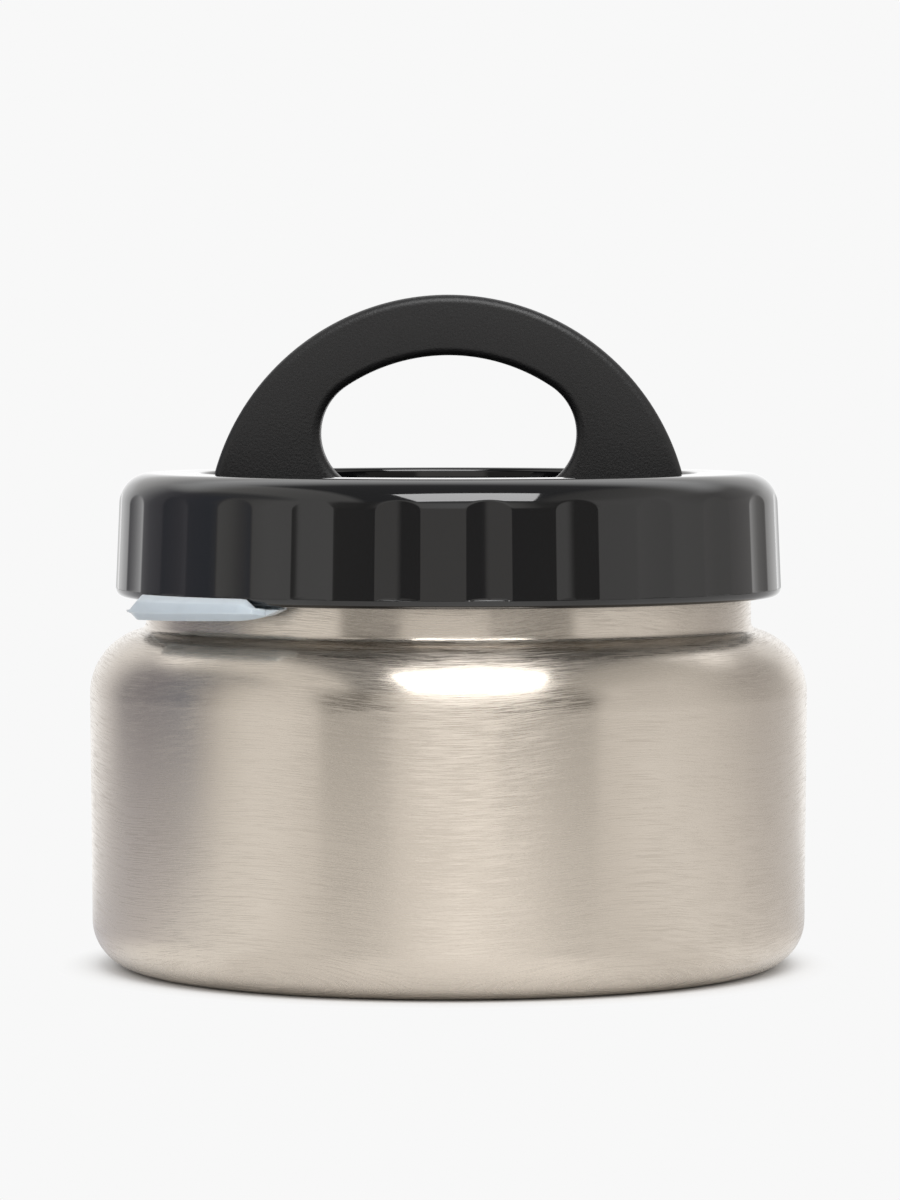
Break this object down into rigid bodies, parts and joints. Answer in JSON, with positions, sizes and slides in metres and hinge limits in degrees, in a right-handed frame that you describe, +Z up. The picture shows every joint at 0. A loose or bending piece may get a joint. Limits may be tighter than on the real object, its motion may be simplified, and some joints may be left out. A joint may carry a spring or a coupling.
{
  "type": "insulated food jar",
  "caption": "Squat double-walled steel food jar with a fluted screw lid, a half-moon handle that folds into the lid and a silicone seal with a pull tab.",
  "frame": {"origin": "centre of the base on the resting surface", "axes": "+Z up the jar's axis, X along the handle's hinge axis, front towards -Y, with the pull tab at the front left"},
  "size_m": [0.12, 0.12, 0.1123],
  "materials": {
    "brushed_steel": "brushed round the jar",
    "satin_steel": "satin",
    "copper_foil": "bright foil",
    "solder_glass": "fused glass bead",
    "spring_steel": "bright drawn wire",
    "getter_metal": "pressed powder",
    "gloss_black_plastic": "polished mould",
    "black_plastic": "satin moulded",
    "foam": "closed-cell foam",
    "blue_silicone": "translucent pale blue silicone",
    "clear_silicone": "translucent silicone",
    "acetal": "punched sheet",
    "matte_black_plastic": "fine spark-eroded grain"
  },
  "bodies": {
    "jar": {"outer_shell": "brushed_steel", "inner_liner": "satin_steel", "radiation_foil": "copper_foil", "vacuum_base": "satin_steel", "port_seal": "solder_glass", "getter_clip": "spring_steel", "getter_pill": "getter_metal", "base_cover": "brushed_steel"},
    "gasket": {"rim_gasket": "clear_silicone"},
    "lid": {"lid_shell": "gloss_black_plastic", "lid_liner": "black_plastic", "lid_foam": "foam", "tab_seal": "blue_silicone", "hinge_pin_left": "spring_steel", "hinge_pin_right": "spring_steel", "friction_washer_left": "acetal", "friction_washer_right": "acetal"},
    "grip": {"handle": "matte_black_plastic"}
  },
  "joints": [
    {"name": "lid_rise", "type": "slide", "parent": "jar", "child": "gasket", "axis": [0, 0, 1], "range_m": [0, 0.03]},
    {"name": "lid_turn", "type": "hinge", "parent": "gasket", "child": "lid", "pos_m": [0, 0, 0.0772], "axis": [0, 0, 1], "range_deg": [0, 540]},
    {"name": "handle_fold", "type": "hinge", "parent": "lid", "child": "grip", "pos_m": [0, 0, 0.07175], "axis": [1, 0, 0], "range_deg": [-90, 90]}
  ],
  "couplings": [
    {"joint": "lid_rise", "follows": "lid_turn", "m_per_rad": 0.0031831}
  ]
}
